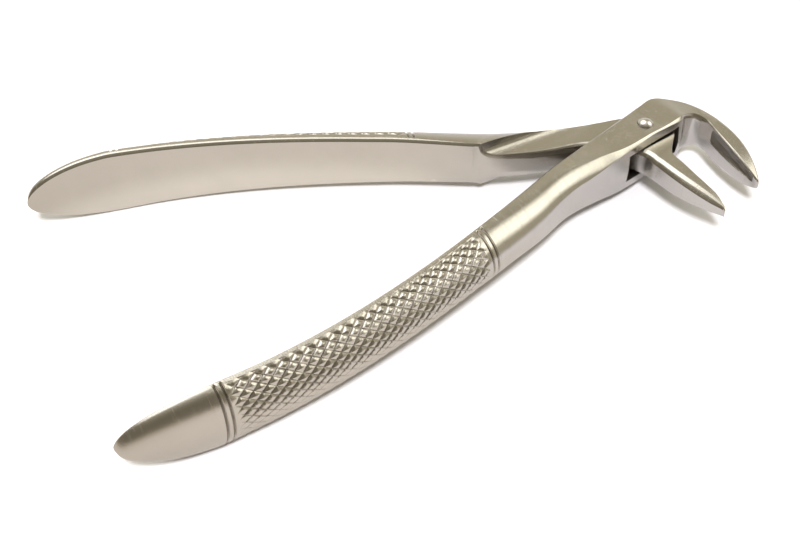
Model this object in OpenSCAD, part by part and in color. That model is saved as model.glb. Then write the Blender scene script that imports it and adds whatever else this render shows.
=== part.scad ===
// Tooth extraction forceps for lower roots: two forged arms that cross in a box joint, and a rivet.
// Both arms are laid out as they lie with the beaks shut, then turned apart about the pivot.
// The pivot is the Z axis and Z = 0 is the underside of the joint box. The handles run towards -X.

/* [Handles] */
// Pivot to the end of a handle, measured with the beaks shut
handle_len = 126.2; // [114:0.2:138]
// Greatest height of a handle, across its flat inner face
handle_h = 14.9; // [12.5:0.1:17]
// Distance from the rounded end of a handle to its tallest place
end_round = 18.2; // [12:0.2:26]
// Height of an arm at its neck
neck_h = 10.5; // [9.4:0.1:11.2]
// Thickness of an arm at its neck
neck_t = 7.1; // [6.2:0.1:8]
// Distance from the pivot at which a handle starts to get thinner
taper_from = 40; // [34:1:60]
// Thickness that the taper reaches at the end of a handle
end_t = 3.7; // [2.6:0.1:4.6]
// Angle at which a handle leaves the neck
neck_angle = 13.3; // [10:0.1:15]
// Angle at which the end of a handle comes back in
end_angle = 14; // [6:0.5:18]
// Half the gap between the handle ends, beaks shut
end_gap = 7; // [4:0.2:11]
// Chamfer along the edges of the flat inner faces
edge_cut = 0.5; // [0.2:0.05:0.8]

/* [Joint box] */
// Height of the box over its two plates
box_h = 11.26; // [10.6:0.02:12.4]
// Pivot to the side face of the box that the inner beak comes out of
box_front = 3.45; // [3:0.05:4.2]
// Pivot to the back of the box
box_back = 4.85; // [4.4:0.05:5.6]
// Height of the slot between the plates
slot_h = 6.4; // [5.9:0.02:7]
// Pivot to the handle end of the slot, along the side face
slot_reach = 8.1; // [7.6:0.1:9]
// Bevel along the edges of the box
box_bevel = 0.5; // [0.2:0.05:0.8]

/* [Tongue] */
// Height of the tongue that turns in the slot
tongue_h = 5.5; // [4.8:0.02:5.7]
// Radius of the tongue's eye round the pivot
eye_r = 6.3; // [5.7:0.05:6.6]
// How far the tongue's inner edge reaches past the centre line, beaks shut
tongue_low = 1.1; // [0.6:0.05:1.3]
// Play between the tongue's edges and the walls of the slot
slot_play = 0.6; // [0.4:0.05:1]

/* [Beaks] */
// Pivot to the tips of the beaks, down the side that they point to
beak_drop = 23.4; // [21:0.2:27]
// Height of the outer beak where it leaves the bend
outer_beak_h = 7.6; // [6.6:0.1:8.6]
// Height of the inner beak where it leaves the tongue
inner_beak_h = 5.3; // [4.6:0.1:5.3]
// Height of both beaks at the tip
tip_h = 2.6; // [2:0.1:3.4]
// Thickness of a beak at the tip
tip_t = 1; // [0.8:0.05:1.5]
// Gap between the tips, beaks shut
tip_gap = 0.8; // [0.5:0.05:2]
// Depth of the hollow along the gripping faces
grip_hollow = 0.5; // [0.2:0.05:0.8]

/* [Rivet] */
// Diameter of the rivet's shank
rivet_d = 2.4; // [2:0.05:2.8]
// Diameter of the rivet's two heads
rivet_head_d = 3.1; // [2.9:0.05:4]
// Depth of the seat that each head sits in
seat_depth = 0.3; // [0.2:0.05:0.6]
// How far the domed head stands above the box
dome_h = 0.45; // [0.2:0.05:0.8]
// How far the peened end stands below the box
peen_h = 0.15; // [0.05:0.05:0.3]
// Radial play of the shank in the plates
seat_play = 0.02; // [0.01:0.01:0.04]
// Radial play of the shank in the tongue
pivot_play = 0.05; // [0.02:0.01:0.1]

/* [Pose] */
// Angle between the arms, counted from beaks shut
open_angle = 24; // [6:1:50]

/* [Hidden] */
$fn = 64;
steel = [0.72, 0.70, 0.66];
bright_steel = [0.86, 0.85, 0.84];

// Half-sections have this many steps from the middle plane to the top face
side_steps = 5;
// Rings that the curve adds after each station
rings_per_span = 2;
// Exponent of the rounded side of a handle
round_power = 2.3;
// Share of the rise in handle height that comes late
swell_power = 1.3;
mid_z = box_h / 2;
tallest_x = handle_len - end_round;
// Where the handle curve of each arm stops, and its flat face's distance from the centre line there
box_neck_x = 24.5;
box_neck_in = -1;
tongue_neck_x = 33;
tongue_neck_in = 0.7;
// Stations along one handle
round_steps = 8;
grip_steps = 9;
// Metal that is milled off the flat faces of the box and the tongue
skim = 0.1;
// Reach of a cutter past the metal that it cuts
past = 30;
// Small edge break along the tongue and the beaks
small_edge = [0.3, 0];
flat_side = [edge_cut, 0];
box_side = [box_bevel, 0];

function mix(a, b, u) = a + (b - a) * u;
function clamp01(u) = max(0, min(1, u));
function smooth(u) = let(c = clamp01(u)) c * c * (3 - 2 * c);
function polar(r, a) = [r * cos(a), r * sin(a)];

// Curve from height a to height b over a run, with a slope at each end
function slope_curve(a, b, slope_a, slope_b, run, u) =
    a * (2 * pow(u, 3) - 3 * pow(u, 2) + 1)
    + slope_a * run * (pow(u, 3) - 2 * pow(u, 2) + u)
    + b * (3 * pow(u, 2) - 2 * pow(u, 3))
    + slope_b * run * (pow(u, 3) - pow(u, 2));

// Point on the line from a to b, bowed to the right of it by sag; a bow that is late by n is at its
// deepest n parts out of n + 1 along the line
function bowed(a, b, sag, u, late = 1) =
    let(d = (b - a) / norm(b - a), deepest = late / (late + 1))
    mix(a, b, u) + [d.y, -d.x] * sag * (late + 1) * (1 - u) * pow(u / deepest, late);

// Distance of a handle's flat face from the centre line
function flat_face(x, neck_x, neck_in) =
    slope_curve(neck_in, end_gap, tan(neck_angle), -tan(end_angle), handle_len - neck_x,
        (x - neck_x) / (handle_len - neck_x));

// Half height of a handle
function handle_half(x) =
    x > tallest_x
    ? handle_h / 2 * sqrt(1 - pow((x - tallest_x) / end_round, 2))
    : mix(neck_h, handle_h, pow(clamp01((x - box_neck_x) / (tallest_x - box_neck_x)), swell_power)) / 2;

// Thickness of a handle, with its end rounded over
function handle_thick(x) =
    mix(neck_t, end_t, clamp01((x - taper_from) / (handle_len - taper_from)))
    * (x > tallest_x ? pow(1 - pow((x - tallest_x) / end_round, 2), 0.25) : 1);

// One station of an arm: the section's left and right corners as seen from above, looking from the
// handle to the beak, its half height, the depth and roundness of each side, and the hollow of each
function station(left, right, half, left_side, right_side, left_hollow = 0, right_hollow = 0) =
    [left.x, left.y, right.x, right.y, half, left_side[0], left_side[1], right_side[0],
        right_side[1], left_hollow, right_hollow];

// Distances from the pivot of the stations along a handle, from its end to its neck
function handle_xs(neck_x) = concat(
    [for (i = [0 : round_steps - 1]) tallest_x + end_round * sin(87 * (1 - i / round_steps))],
    [for (i = [0 : grip_steps - 1]) mix(tallest_x, neck_x, i / grip_steps)]);

// Smooth curve through the stations
function spline(p0, p1, p2, p3, u) =
    (p1 * 2 + (p2 - p0) * u + (p0 * 2 - p1 * 5 + p2 * 4 - p3) * pow(u, 2)
        + (p1 * 3 - p0 - p2 * 3 + p3) * pow(u, 3)) / 2;
function run_through(keys) =
    let(last = len(keys) - 1)
    concat([for (i = [0 : last - 1]) for (k = [0 : rings_per_span - 1])
        spline(keys[max(i - 1, 0)], keys[i], keys[i + 1], keys[min(i + 2, last)], k / rings_per_span)],
        [keys[last]]);

// Point of a half-section: how far in from the corner line, and the height
function rounded(j, half, depth) =
    let(a = 90 * j / side_steps)
    [depth * (1 - pow(cos(a), 2 / round_power)), half * pow(sin(a), 2 / round_power)];
function bevelled(j, half, depth) =
    j == side_steps ? [depth, half] : [0, (half - depth) * j / (side_steps - 1)];
function side_point(j, half, depth, roundness, hollow) =
    let(cut = min(depth, edge_cut),
        p = mix(bevelled(abs(j), half, cut), rounded(abs(j), half, depth), roundness))
    [p.x + hollow * (1 - pow(p.y / half, 2)), sign(j) * p.y];

// Height z after both faces are milled down to a height
function milled(z, height) = max(-height, min(height, z));

// The points of one section, anticlockwise as seen from the beak
function ring(s, height) =
    let(left = [s[0], s[1]], right = [s[2], s[3]], across = (right - left) / norm(right - left))
    concat(
        [for (j = [-side_steps : side_steps]) let(p = side_point(j, s[4], s[5], s[6], s[9]))
            [left.x + across.x * p.x, left.y + across.y * p.x, milled(p.y, height)]],
        [for (j = [side_steps : -1 : -side_steps]) let(p = side_point(j, s[4], s[7], s[8], s[10]))
            [right.x - across.x * p.x, right.y - across.y * p.x, milled(p.y, height)]]);

// All rings of a run of stations, milled to a height over the middle plane
function rings(keys, height = handle_h) = [for (s = run_through(keys)) ring(s, height)];

// Solid skin over the rings
module forging(rows) {
    n = len(rows[0]);
    m = len(rows);
    points = [for (row = rows) each row];
    sides = [for (i = [0 : m - 2]) for (k = [0 : n - 1])
        let(a = i * n + k, b = i * n + (k + 1) % n)
        each [[a, a + n, b], [b, a + n, b + n]]];
    first_cap = [for (k = [0 : n - 1]) k];
    last_cap = [for (k = [n - 1 : -1 : 0]) (m - 1) * n + k];
    polyhedron(points, concat(sides, [first_cap, last_cap]));
}

// Half height of a beak, from its root to its tip
function beak_half(root_h, u) = mix(root_h, tip_h, pow(u, 3)) / 2;

// Outer side of the box arm: rounded along the grip, a plain bevel along the box
round_from = 8;
round_to = 46;
function box_arm_side(x, thick) =
    let(f = smooth((x - round_from) / (round_to - round_from)))
    [mix(box_bevel, thick - edge_cut, f), f];

// Beaks, laid out shut: where each side starts at the bend and where it ends at the tip
beak_steps = 6;
beak_back = 1.9;
tip_x = 9.3;
tip_y = -beak_drop;
outer_bend = [16.5, -4.5];
outer_grip = [12.8, -5.9];
outer_tip = [tip_x + tip_gap / 2, tip_y + 0.4];
outer_tip_back = outer_tip + [tip_t, -0.1];
inner_grip = [3.7, -7.7];
inner_back = [-0.4, -10.2];
inner_tip = [tip_x - tip_gap / 2, tip_y + 0.6];
inner_tip_back = inner_tip + [-0.8, -0.6] * tip_t;

box_half = box_h / 2 + skim;
tongue_half = tongue_h / 2 + skim;

box_arm_handle = [for (x = handle_xs(box_neck_x))
    let(y = -flat_face(x, box_neck_x, box_neck_in), t = handle_thick(x))
    station([-x, y], [-x, y - t], handle_half(x), [min(edge_cut, t / 4), 0], box_arm_side(x, t))];
box_arm_joint = [
    station([-box_neck_x, -box_neck_in], [-box_neck_x, -box_neck_in - neck_t + 0.6], neck_h / 2,
        flat_side, box_arm_side(box_neck_x, neck_t)),
    station([-16, box_back - 2.55], [-15.6, -box_front - 0.95], mix(neck_h / 2, box_half, 0.6),
        flat_side, box_arm_side(16, neck_t)),
    station([-9, box_back - 1.5], [-8.6, -box_front - 0.2], box_half, box_side, box_side),
    station([-2.5, box_back - 0.45], [-1.5, -box_front], box_half, box_side, box_side),
    station([2.5, box_back + 0.45], [3.5, -box_front], box_half, box_side, box_side),
    station([6.8, box_back + 1.4], [7.3, -box_front + 0.2], box_half - 0.1, [0.8, 0.3], box_side),
    station([10.4, box_back + 0.1], [9.4, -2.5], box_half - 0.7, [1.3, 0.7], [box_bevel, 0.1]),
    station([13.6, box_back - 2.4], [11.4, -2.6], box_half - 1.3, [1.7, 1], [box_bevel, 0.2]),
    station([15.7, -0.8], [12.6, -3.8], mix(box_half, outer_beak_h / 2, 0.92), [beak_back, 1],
        [box_bevel, 0.2], 0, grip_hollow / 2)];
box_arm_beak = [for (i = [0 : beak_steps]) let(u = i / beak_steps)
    station(bowed(outer_bend, outer_tip_back, -1.45, u), bowed(outer_grip, outer_tip, 0.45, u),
        beak_half(outer_beak_h, u), [mix(beak_back, tip_t / 2, u), 1], small_edge, 0,
        grip_hollow * (1 - pow(u, 4)))];
box_arm_end = [station(outer_tip_back + [-0.6, -0.8] * tip_t, outer_tip + [0.1, -0.8] * tip_t,
    tip_h / 3, [tip_t / 8, 1], [tip_t / 8, 1])];

// Line of the tongue's two shoulders, from the flat face to the outside of the neck
shoulder_in = [-35.4, 0.7];
shoulder_out = [-17.6, 5.7];
shoulder_slope = [0.4, -0.1];
// Stretch over which the sections turn from square across the handle to the line of the shoulders
shoulder_turn = 6;

tongue_arm_handle = [for (x = handle_xs(tongue_neck_x)) if (x > shoulder_turn - shoulder_in.x)
    let(y = flat_face(x, tongue_neck_x, tongue_neck_in), t = handle_thick(x))
    station([-x, y + t], [-x, y], handle_half(x), [t - edge_cut, 1], [min(edge_cut, t / 4), 0])];
tongue_arm_neck = [
    station([-33.5, neck_t + 1], shoulder_in + [-2.2, 0.55], neck_h / 2, [neck_t + 0.3, 1], flat_side),
    station([-26, neck_t - 0.4], shoulder_in + [-0.8, 0.25], neck_h / 2, [11, 1], flat_side),
    station(shoulder_out, shoulder_in, neck_h / 2, [17, 1], flat_side)];
tongue_arm_joint = [
    station(shoulder_out + shoulder_slope, shoulder_in + shoulder_slope, neck_h / 2, [17, 1],
        flat_side),
    station([-15.5, 5.4], [-28.5, -tongue_low + 0.1], neck_h / 2, [7, 0.9], flat_side),
    station([-12.5, 5.5], [-22, -tongue_low], neck_h / 2 - 0.6, [3.2, 0.7], flat_side),
    station([-9, 5.5], [-15.5, -tongue_low + 0.1], 3.8, [1.3, 0.4], small_edge),
    station([-5.5, 5.5], [-10.3, -tongue_low - 0.5], tongue_half, small_edge, small_edge),
    station([0, 5.5], [-6.8, -3], tongue_half, small_edge, small_edge),
    station(polar(eye_r - 0.5, 44), [-4.6, -4.3], tongue_half, small_edge, [0.4, 0.2]),
    station(polar(eye_r - 0.1, 14), [-3.2, -5.4], tongue_half, small_edge, [0.5, 0.4]),
    station(polar(eye_r, -14), [-2.2, -6.6], tongue_half, small_edge, [0.7, 0.6]),
    station(polar(eye_r, -38), [-1.5, -7.8], tongue_half, small_edge, [0.9, 0.7]),
    station([4.1, -5.8], [-1, -9], inner_beak_h / 2, small_edge, [1, 0.8], grip_hollow / 3, 0)];
tongue_arm_beak = [for (i = [0 : beak_steps]) let(u = i / beak_steps)
    station(bowed(inner_grip, inner_tip, -0.55, u, 5), bowed(inner_back, inner_tip_back, 0.75, u),
        beak_half(inner_beak_h, u), small_edge, [mix(1.1, tip_t / 2, u), 0.8],
        grip_hollow * (1 - pow(u, 4)), 0)];
tongue_arm_end = [station(inner_tip + [-0.1, -1] * tip_t, inner_tip_back + [0.5, -0.7] * tip_t,
    tip_h / 3, [tip_t / 8, 1], [tip_t / 8, 1])];

// Turns one arm from where it lies with the beaks shut, and lifts it to the joint's middle plane
module laid(side) {
    rotate([0, 0, side * open_angle / 2]) translate([0, 0, mid_z]) children();
}

// Space that the tongue sweeps between the plates: an arc round the eye at the beak end, and a
// channel for the tongue's inner edge at the handle end
module slot() {
    end_r = eye_r + slot_play + 0.5;
    end_low = polar(end_r, -26);
    floor_y = -tongue_low - slot_play;
    outline = concat(
        [[-slot_reach, -box_front - past], [-slot_reach, -box_front + 0.2],
            [-slot_reach - 1.3, floor_y - 0.8], [-slot_reach - 3.8, floor_y - 0.2],
            [-box_neck_x, floor_y], [shoulder_in.x - 0.6, floor_y + 0.3],
            [shoulder_in.x - 4, past], [0, past]],
        [for (a = [90 : -9 : -18]) polar(end_r, a)],
        [end_low, [end_low.x, -box_front - past]]);
    translate([0, 0, -slot_h / 2]) linear_extrude(slot_h) polygon(outline);
}

module rivet_seats() {
    cylinder(h = box_h * 2, d = rivet_d + 2 * seat_play, center = true);
    for (side = [-1, 1])
        translate([0, 0, side * (box_h / 2 - seat_depth + past / 2)])
            cylinder(h = past, d = rivet_head_d + 2 * seat_play, center = true);
}

// Metal milled off above and below the box
module box_skim() {
    for (side = [-1, 1])
        translate([0, 0, side * (box_h / 2 + past / 2)])
            cube([2 * box_neck_x, 2 * past, past], center = true);
}

module box_arm() {
    color(steel) laid(1) difference() {
        forging(rings(concat(box_arm_handle, box_arm_joint, box_arm_beak, box_arm_end)));
        box_skim();
        slot();
        rivet_seats();
    }
}

module tongue_arm() {
    color(steel) laid(-1) difference() {
        forging(concat(rings(concat(tongue_arm_handle, tongue_arm_neck)),
            rings(concat(tongue_arm_joint, tongue_arm_beak, tongue_arm_end), tongue_h / 2)));
        cylinder(h = box_h, d = rivet_d + 2 * pivot_play, center = true);
    }
}

// Profile of a head: a rim down in its seat and a dome over it
function head_profile(rise) =
    let(r = rivet_head_d / 2, rim = rise / 3)
    concat([[0, 0], [r, 0], [r, seat_depth + rim]],
        [for (a = [15 : 15 : 90]) [r * cos(a), seat_depth + rim + (rise - rim) * sin(a)]]);

module pivot_rivet() {
    grip = box_h - 2 * seat_depth;
    color(bright_steel) translate([0, 0, mid_z]) {
        cylinder(h = grip, d = rivet_d, center = true);
        translate([0, 0, grip / 2]) rotate_extrude() polygon(head_profile(dome_h));
        mirror([0, 0, 1]) translate([0, 0, grip / 2]) rotate_extrude() polygon(head_profile(peen_h));
    }
}

box_arm();
tongue_arm();
pivot_rivet();
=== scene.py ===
"""Looks of a pair of tooth extraction forceps with a box joint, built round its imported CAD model."""
import logging
import math
from dataclasses import dataclass, field
from enum import Enum
from typing import ClassVar

import bmesh
import bpy
import numpy as np
from mathutils import Matrix, Vector


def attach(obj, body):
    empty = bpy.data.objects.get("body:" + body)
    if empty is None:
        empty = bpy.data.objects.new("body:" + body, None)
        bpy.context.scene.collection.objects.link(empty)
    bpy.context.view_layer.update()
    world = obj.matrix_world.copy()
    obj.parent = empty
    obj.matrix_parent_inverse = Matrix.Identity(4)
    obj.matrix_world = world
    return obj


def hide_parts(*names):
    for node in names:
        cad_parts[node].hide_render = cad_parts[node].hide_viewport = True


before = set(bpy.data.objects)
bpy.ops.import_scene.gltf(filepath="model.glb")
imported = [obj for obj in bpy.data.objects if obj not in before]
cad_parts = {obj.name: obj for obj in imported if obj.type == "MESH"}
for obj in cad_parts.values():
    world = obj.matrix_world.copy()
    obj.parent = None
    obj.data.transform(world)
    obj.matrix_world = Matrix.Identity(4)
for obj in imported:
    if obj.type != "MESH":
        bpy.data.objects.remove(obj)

MM = 0.001
LOG = logging.getLogger("forceps")
Flat = tuple[float, float]
Span = tuple[float, float]
Triple = tuple[float, float, float]
HALF, LIFT, SAG, KEEL = 4, 13, 14, 15  # Columns of a station's row that are read one by one.


class Flank(Enum):
    """A side of an arm, seen on the way to the beak, by the first column of its corner in a row."""

    LEFT = 0
    RIGHT = 2


class Turn(Enum):
    """Which way a piece turns from where it lies with the beaks shut."""

    BOX_SIDE = 1
    TONGUE_SIDE = -1
    NEITHER = 0


class Saw(Enum):
    """Blender's ways to cut a blank, in the order in which they are tried."""

    EXACT = "EXACT"
    MANIFOLD = "MANIFOLD"


def mix(a: float, b: float, u: float) -> float:
    """Returns the value that lies a share u of the way from a to b."""
    return a + (b - a) * u


def smooth(u: float) -> float:
    """Returns u eased in and out between 0 and 1."""
    c = min(max(u, 0.0), 1.0)
    return c * c * (3 - 2 * c)


def polar(radius: float, degrees: float) -> Flat:
    """Returns the point at a radius and an angle round the pivot."""
    return (radius * math.cos(math.radians(degrees)), radius * math.sin(math.radians(degrees)))


def moved(point: Flat, step: Flat, share: float = 1.0) -> Flat:
    """Returns the point shifted by a share of a step."""
    return (point[0] + step[0] * share, point[1] + step[1] * share)


def bowed(a: Flat, b: Flat, sag: float, u: float, late: float = 1.0) -> Flat:
    """Finds a point on a bowed line.

    Args:
        a: Start of the line.
        b: End of the line.
        sag: Greatest distance of the bow to the right of the line.
        u: Share of the way along the line.
        late: The bow is deepest late parts out of late + 1 along the line.

    Returns:
        The point.
    """
    dx, dy = b[0] - a[0], b[1] - a[1]
    run = math.hypot(dx, dy)
    rise = sag * (late + 1) * (1 - u) * (u * (late + 1) / late) ** late
    return (mix(a[0], b[0], u) + dy / run * rise, mix(a[1], b[1], u) - dx / run * rise)


@dataclass(frozen=True)
class Side:
    """How one side of a section turns over to its top and bottom edges.

    Fields: depth is how far the edges lie back, roundness goes from 0 for a flat side with chamfers
    to 1 for a side that is round all over, hollow is how far the middle is sunk, and facet is the breadth
    of a shallow bevel that breaks the edge above all that.
    """

    depth: float
    roundness: float = 0.0
    hollow: float = 0.0
    facet: float = 0.0


@dataclass(frozen=True)
class Station:
    """A cross-section: its corners from above, left and right of the way to the beak, and its sides.

    Fields: half is half its height, lift and sag are what its upper and lower half have more than that,
    and keel goes from 0 to 1 as the sides' lower half is filled up.
    """

    left: Flat
    right: Flat
    half: float
    left_side: Side
    right_side: Side
    lift: float = 0.0
    sag: float = 0.0
    keel: float = 0.0

    def row(self) -> np.ndarray:
        """Returns the section as one row of numbers, which the skin's curve runs through."""
        ls, rs = self.left_side, self.right_side
        return np.array([*self.left, *self.right, self.half, ls.depth, ls.roundness, rs.depth,
                         rs.roundness, ls.hollow, rs.hollow, ls.facet, rs.facet, self.lift, self.sag,
                         self.keel])


@dataclass(frozen=True)
class Pivot:
    """Sizes of the box joint that both arms and the rivet share, in millimetres."""

    open_angle: float = 24.0
    box_h: float = 11.26
    box_front: float = 3.45
    box_back: float = 4.85
    slot_h: float = 6.4
    slot_reach: float = 8.1
    slot_play: float = 0.6
    tongue_h: float = 5.5
    tongue_low: float = 1.1
    eye_r: float = 6.3
    rivet_d: float = 2.4
    head_d: float = 3.1
    seat_depth: float = 0.3
    dome_h: float = 0.95
    peen_h: float = 0.15

    def lay(self, points: np.ndarray, turn: Turn) -> np.ndarray:
        """Lays an arm open.

        Args:
            points: Points in millimetres, with the beaks shut and the middle plane at zero.
            turn: Which arm the points turn with.

        Returns:
            The points in metres, in the part's own frame.
        """
        a = math.radians(turn.value * self.open_angle / 2)
        c, s = math.cos(a), math.sin(a)
        x, y, z = points[:, 0], points[:, 1], points[:, 2]
        return np.stack([x * c - y * s, x * s + y * c, z + self.box_h / 2], 1) * MM


@dataclass(frozen=True)
class Handle:
    """Sizes of a handle, in millimetres, measured with the beaks shut."""

    length: float = 126.2
    height: float = 14.9
    end_round: float = 18.2
    neck_h: float = 10.5
    neck_t: float = 7.1
    taper_from: float = 40.0
    end_t: float = 3.7
    neck_angle: float = 13.3
    end_angle: float = 14.0
    end_gap: float = 7.0
    edge_cut: float = 0.5
    swell_from: float = 24.5
    swell_power: float = 1.3
    end_power: float = 0.25
    end_sweep: float = 87.0

    def tallest(self) -> float:
        """Returns the distance from the pivot to the tallest place."""
        return self.length - self.end_round

    def flat_face(self, x: float, neck_x: float, neck_in: float) -> float:
        """Finds the flat inner face.

        Args:
            x: Distance from the pivot.
            neck_x: Where the handle's curve starts.
            neck_in: Distance of the face from the centre line there.

        Returns:
            Its distance from the centre line.
        """
        run = self.length - neck_x
        u = (x - neck_x) / run
        out, back = math.tan(math.radians(self.neck_angle)), -math.tan(math.radians(self.end_angle))
        return (neck_in * (2 * u**3 - 3 * u**2 + 1) + out * run * (u**3 - 2 * u**2 + u)
                + self.end_gap * (3 * u**2 - 2 * u**3) + back * run * (u**3 - u**2))

    def half(self, x: float) -> float:
        """Works out half the handle's height.

        Args:
            x: Distance from the pivot.

        Returns:
            Half the height there.
        """
        if x > self.tallest():
            return self.height / 2 * math.sqrt(1 - ((x - self.tallest()) / self.end_round) ** 2)
        swell = max(x - self.swell_from, 0) / (self.tallest() - self.swell_from)
        return mix(self.neck_h, self.height, swell**self.swell_power) / 2

    def thick(self, x: float) -> float:
        """Works out the handle's thickness.

        Args:
            x: Distance from the pivot.

        Returns:
            The thickness there.
        """
        taper = min(max((x - self.taper_from) / (self.length - self.taper_from), 0), 1)
        over = max(x - self.tallest(), 0) / self.end_round
        return mix(self.neck_t, self.end_t, taper) * (1 - over**2) ** self.end_power

    def stops(self, neck_x: float, round_steps: int = 8, grip_steps: int = 9) -> list[float]:
        """Places the handle's stations.

        Args:
            neck_x: Where the handle's curve starts.
            round_steps: Number of stations in its rounded end.
            grip_steps: Number of stations along its grip.

        Returns:
            Their distances from the pivot, from the handle's end to its neck.
        """
        angles = [math.radians(self.end_sweep * (1 - i / round_steps)) for i in range(round_steps)]
        end = [self.tallest() + self.end_round * math.sin(a) for a in angles]
        return end + [mix(self.tallest(), neck_x, i / grip_steps) for i in range(grip_steps)]


@dataclass(frozen=True)
class Beak:
    """Sizes of the beaks, in millimetres, laid out shut."""

    drop: float = 23.4
    outer_h: float = 7.6
    inner_h: float = 5.3
    tip_h: float = 2.6
    tip_t: float = 1.0
    tip_gap: float = 0.8
    tip_x: float = 9.3
    back: float = 1.9
    hollow: float = 0.5
    steps: int = 6

    def half(self, root_h: float, u: float) -> float:
        """Returns half the height of a beak, a share u of the way from its root to its tip."""
        return mix(root_h, self.tip_h, u**3) / 2


@dataclass(frozen=True)
class Columns:
    """How many points half a side gets: upright, where it turns over, on a milled edge and on top."""

    upright: int
    turn: int
    chamfer: int = 4
    top: int = 2

    def count(self) -> int:
        """Returns the number of points from the middle of the side to its edge."""
        return self.upright + self.turn + self.chamfer + self.top


@dataclass(frozen=True)
class Mill:
    """What faces a forging flat above and below.

    Fields: height over the middle plane, the edge break that it leaves, how softly the flat runs out, and
    the radius of the corner that it leaves between the first two stations of a run.
    """

    height: float = 99.0
    cut: float = 0.3
    soft: float = 0.0
    corner: float = 0.0

    def at(self, t: float) -> "Mill":
        """Returns the mill as it works at a place counted in stations."""
        rise = self.corner * max(1 - t, 0) ** 2 / 2
        return Mill(self.height + rise, self.cut, self.soft)

    def run_out(self, half: float) -> float:
        """Returns half the height of a section that is polished into the flat without an edge."""
        near = max(self.soft - abs(half - self.height), 0) / self.soft
        return min(half, self.height) - near**2 * self.soft / 4


class SideCurve:
    """The upper half of one side of a section, from its middle to its top edge."""

    facet_rise: ClassVar[float] = 0.26
    facet_end: ClassVar[float] = 0.2
    turn_share: ClassVar[float] = 0.66
    powers: ClassVar[Span] = (1.1, 2.0)
    arc_steps: ClassVar[int] = 240
    break_steps: ClassVar[int] = 9
    slope_step: ClassVar[float] = 0.05

    def __init__(self, half: float, side: Side, mill: Mill) -> None:
        """Draws the curve and keeps the lengths at which its parts end.

        Args:
            half: Half the section's height.
            side: The form of the side.
            mill: What faces the forging flat.
        """
        facet = min(max(side.facet, 0.0), half)
        half = min(half, mill.height) - facet * self.facet_rise if facet else half
        roundness = min(max(side.roundness, 0.0), 1.0)
        depth = max(side.depth, 0.0)
        upright = max(half - depth * mix(1.0, self.turn_share, smooth(depth - 0.4)), 0) * (1 - roundness)
        power = mix(*self.powers, max(smooth(depth / 4.5 - 0.33), smooth(roundness * 1.2)))
        a = np.linspace(0, math.pi / 2, self.arc_steps)
        dip = np.concatenate([[0, 0], depth * (1 - np.cos(a[1:]) ** (2 / power))])
        rise = np.concatenate([[0, upright], upright + (half - upright) * np.sin(a[1:]) ** (2 / power)])
        dip = dip + side.hollow * (1 - (rise / half) ** 2)
        low = mill.height - mill.cut
        marks = [upright, half, half]
        if facet:
            full = half + facet * self.facet_rise
            dip = np.concatenate([dip, dip[-1] + facet + np.array([0, min(self.facet_end, facet)])])
            rise = np.concatenate([rise, [full, full]])
            marks = [upright, half, full]
        elif half > low:
            first = float(np.interp(low, rise, dip))
            keep = rise < low
            cut = min(mill.height, half) - low
            turn = np.linspace(0, math.pi / 2, self.break_steps)
            edge = first + cut * (1 - np.cos(turn))
            dip = np.concatenate([dip[keep], edge, [max(dip[-1], edge[-1] + 0.01)]])
            rise = np.concatenate([rise[keep], low + cut * np.sin(turn), [low + cut]])
            marks = [min(upright, low), low, low + cut]
        self.dip, self.rise = dip, rise
        self.run = np.concatenate([[0], np.cumsum(np.hypot(np.diff(dip), np.diff(rise)))])
        self.length = float(self.run[-1])
        self.breaks = [float(np.interp(m, rise, self.run)) for m in marks] + [self.length]
        if facet or half > low:
            self.breaks[2] = float(self.run[-2])

    def spread(self, columns: Columns) -> np.ndarray:
        """Spreads the points of a plain side.

        Args:
            columns: How many points each part of the curve gets.

        Returns:
            Their lengths along the curve.
        """
        lengths, start = [0.0], 0.0
        for end, count in zip(self.breaks, (columns.upright, columns.turn, columns.chamfer, columns.top)):
            lengths += list(start + (end - start) * np.arange(1, count + 1) / count)
            start = end
        return np.array(lengths)

    def place(self, lengths: np.ndarray, sink: np.ndarray) -> np.ndarray:
        """Places points on the curve.

        Args:
            lengths: Where they lie along it.
            sink: How deep each one is carved in.

        Returns:
            One row for each point: how far in it lies, and its height.
        """
        here, ahead, behind = (
            np.stack([np.interp(lengths + step, self.run, line) for line in (self.dip, self.rise)], 1)
            for step in (0.0, self.slope_step, -self.slope_step))
        slope = ahead - behind
        slope /= np.maximum(np.linalg.norm(slope, axis=1), 1e-9)[:, None]
        slope = np.where(lengths[:, None] < self.slope_step, (0.0, 1.0), slope)
        return np.stack([here[:, 0] + sink * slope[:, 1], here[:, 1] - sink * slope[:, 0]], 1)


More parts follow.
